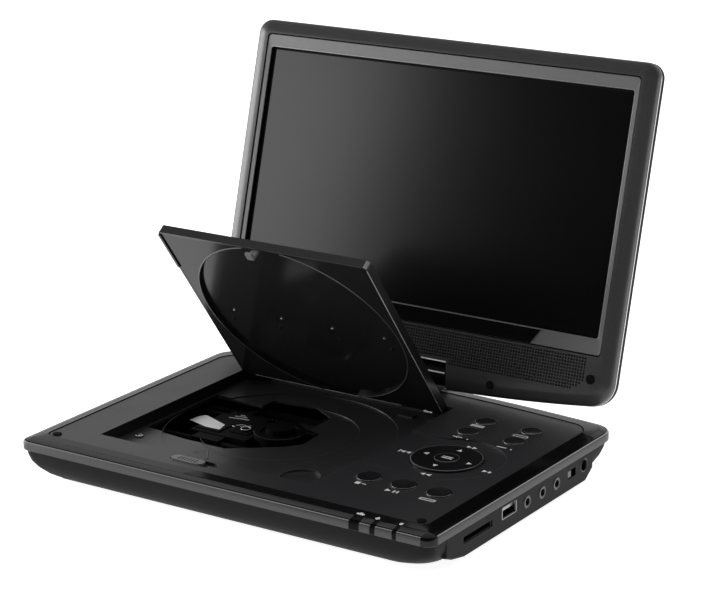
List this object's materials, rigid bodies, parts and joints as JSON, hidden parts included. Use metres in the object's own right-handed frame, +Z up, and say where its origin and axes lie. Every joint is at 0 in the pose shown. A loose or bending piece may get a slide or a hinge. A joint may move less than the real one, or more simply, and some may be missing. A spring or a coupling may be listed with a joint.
{
  "type": "portable dvd player",
  "caption": "Clamshell portable disc player: base with a sprung disc lid, drive, keys and side sockets, and a wide screen on a tilting, swivelling centre hinge.",
  "frame": {"origin": "middle of the base's footprint, on the surface that the rubber feet stand on", "axes": "+X to the user's right, +Y to the back, +Z up"},
  "size_m": [0.2462, 0.227, 0.2038],
  "materials": {
    "black_shell": "fine matte texture",
    "black_panel": "satin, fine texture",
    "black_deck": "satin, fine texture",
    "silver_grey_plastic": "satin metallic paint",
    "gloss_black": "polished piano black",
    "smoked_window": "smoked, polished",
    "rubber": "matte",
    "steel": "plated",
    "motor_can": "drawn can",
    "circuit_board": "solder mask",
    "battery_wrap": "wrapped pouch cells",
    "socket_metal": "plated sheet",
    "socket_plastic": "moulded",
    "sled_metal": "moulded with a bright laser cover",
    "lens_glass": "clear polished lens in a moulded holder",
    "brass": "turned",
    "key_black": "semi-gloss",
    "latch_grey": "satin",
    "lid_black": "polished",
    "lid_gloss": "polished",
    "bezel_black": "satin, finely brushed",
    "frame_grey": "satin metallic paint",
    "screen_glass": "dark anti-glare panel",
    "panel_pack": "display and backlight pack",
    "bright_trim": "bright metallic paint",
    "speaker_black": "paper cone and magnet"
  },
  "bodies": {
    "base": {"bottom_shell": "black_shell", "rim_frame": "silver_grey_plastic", "gloss_trim": "gloss_black", "top_panel": "black_panel", "status_windows": "smoked_window", "rubber_feet": "rubber", "panel_bumpers": "rubber", "base_screws": "steel", "disc_deck": "black_deck", "deck_screws": "steel", "drive_chassis": "black_shell", "rubber_dampers": "rubber", "guide_rods": "steel", "spindle_motor": "motor_can", "feed_motor": "motor_can", "main_board": "circuit_board", "battery_pack": "battery_wrap", "key_board": "circuit_board", "usb_socket": "socket_metal", "card_socket": "socket_plastic", "audio_jacks": "socket_plastic", "dc_socket": "socket_plastic", "swivel_bracket": "steel"},
    "turntable_body": {"turntable": "black_shell", "disc_jaws": "steel"},
    "sled_body": {"pickup_sled": "sled_metal"},
    "lens_body": {"pickup_lens": "lens_glass"},
    "feed_screw_body": {"feed_screw": "brass"},
    "menu_key_body": {"menu_key": "key_black"},
    "mode_key_body": {"mode_key": "key_black"},
    "volume_up_key_body": {"volume_up_key": "key_black"},
    "volume_down_key_body": {"volume_down_key": "key_black"},
    "stop_key_body": {"stop_key": "key_black"},
    "play_key_body": {"play_key": "key_black"},
    "source_key_body": {"source_key": "key_black"},
    "nav_ring_body": {"nav_ring": "gloss_black"},
    "enter_key_body": {"enter_key": "key_black"},
    "power_switch_body": {"power_switch": "key_black"},
    "latch_body": {"lid_latch": "latch_grey"},
    "lid_body": {"lid_cover": "lid_black", "lid_inner": "lid_gloss", "lid_hook": "latch_grey", "lid_pins": "steel", "lid_spring": "steel"},
    "swivel_body": {"swivel_post": "steel", "hinge_barrel": "black_shell", "tilt_shaft": "steel"},
    "screen_body": {"hinge_brackets": "steel", "front_bezel": "bezel_black", "picture_frame": "frame_grey", "gloss_insert": "gloss_black", "lcd_glass": "screen_glass", "lcd_module": "panel_pack", "screen_band": "bright_trim", "rear_cover": "black_shell", "speaker_grille": "black_shell", "speakers": "speaker_black", "screen_bumpers": "rubber", "screen_screws": "steel"}
  },
  "joints": [
    {"name": "screen_swivel", "type": "hinge", "parent": "base", "child": "swivel_body", "pos_m": [0, 0.0821, 0.0195], "axis": [0, 0, 1], "range_deg": [-20, 11]},
    {"name": "screen_tilt", "type": "hinge", "parent": "swivel_body", "child": "screen_body", "pos_m": [0, 0.0821, 0.0338], "axis": [1, 0, 0], "range_deg": [-74.25, 57]},
    {"name": "lid_hinge", "type": "hinge", "parent": "base", "child": "lid_body", "pos_m": [0, 0.0585, 0.0205], "axis": [1, 0, 0], "range_deg": [0, 53.5], "stiffness_Nm_per_rad": 0.05, "springref_deg": -57.3},
    {"name": "latch_slide", "type": "slide", "parent": "base", "child": "latch_body", "axis": [1, 0, 0], "range_m": [0, 0.005], "stiffness_N_per_m": 150, "springref_m": -0.002},
    {"name": "menu_press", "type": "slide", "parent": "base", "child": "menu_key_body", "axis": [0, 0, -1], "range_m": [0, 0.0006], "stiffness_N_per_m": 500, "springref_m": -0.0002},
    {"name": "mode_press", "type": "slide", "parent": "base", "child": "mode_key_body", "axis": [0, 0, -1], "range_m": [0, 0.0006], "stiffness_N_per_m": 500, "springref_m": -0.0002},
    {"name": "volume_up_press", "type": "slide", "parent": "base", "child": "volume_up_key_body", "axis": [0, 0, -1], "range_m": [0, 0.0006], "stiffness_N_per_m": 500, "springref_m": -0.0002},
    {"name": "volume_down_press", "type": "slide", "parent": "base", "child": "volume_down_key_body", "axis": [0, 0, -1], "range_m": [0, 0.0006], "stiffness_N_per_m": 500, "springref_m": -0.0002},
    {"name": "stop_press", "type": "slide", "parent": "base", "child": "stop_key_body", "axis": [0, 0, -1], "range_m": [0, 0.0006], "stiffness_N_per_m": 500, "springref_m": -0.0002},
    {"name": "play_press", "type": "slide", "parent": "base", "child": "play_key_body", "axis": [0, 0, -1], "range_m": [0, 0.0006], "stiffness_N_per_m": 500, "springref_m": -0.0002},
    {"name": "source_press", "type": "slide", "parent": "base", "child": "source_key_body", "axis": [0, 0, -1], "range_m": [0, 0.0006], "stiffness_N_per_m": 500, "springref_m": -0.0002},
    {"name": "nav_ring_press", "type": "slide", "parent": "base", "child": "nav_ring_body", "axis": [0, 0, -1], "range_m": [0, 0.0006], "stiffness_N_per_m": 800, "springref_m": -0.0002},
    {"name": "enter_press", "type": "slide", "parent": "base", "child": "enter_key_body", "axis": [0, 0, -1], "range_m": [0, 0.0006], "stiffness_N_per_m": 500, "springref_m": -0.0002},
    {"name": "power_switch_slide", "type": "slide", "parent": "base", "child": "power_switch_body", "axis": [0, 1, 0], "range_m": [0, 0.003]},
    {"name": "spindle_spin", "type": "hinge", "parent": "base", "child": "turntable_body", "pos_m": [-0.0256, -0.0015, 0.015], "axis": [0, 0, 1], "continuous": true},
    {"name": "sled_slide", "type": "slide", "parent": "base", "child": "sled_body", "axis": [-1, 0, 0], "range_m": [0, 0.033]},
    {"name": "feed_screw_spin", "type": "hinge", "parent": "base", "child": "feed_screw_body", "pos_m": [-0.0685, 0.0235, 0.0115], "axis": [1, 0, 0], "range_deg": [0, 3970]},
    {"name": "lens_focus", "type": "slide", "parent": "sled_body", "child": "lens_body", "axis": [0, 0, 1], "range_m": [-0.0003, 0.0003], "stiffness_N_per_m": 150}
  ],
  "couplings": [
    {"joint": "feed_screw_spin", "follows": "sled_slide", "rad_per_m": 2094.4}
  ]
}
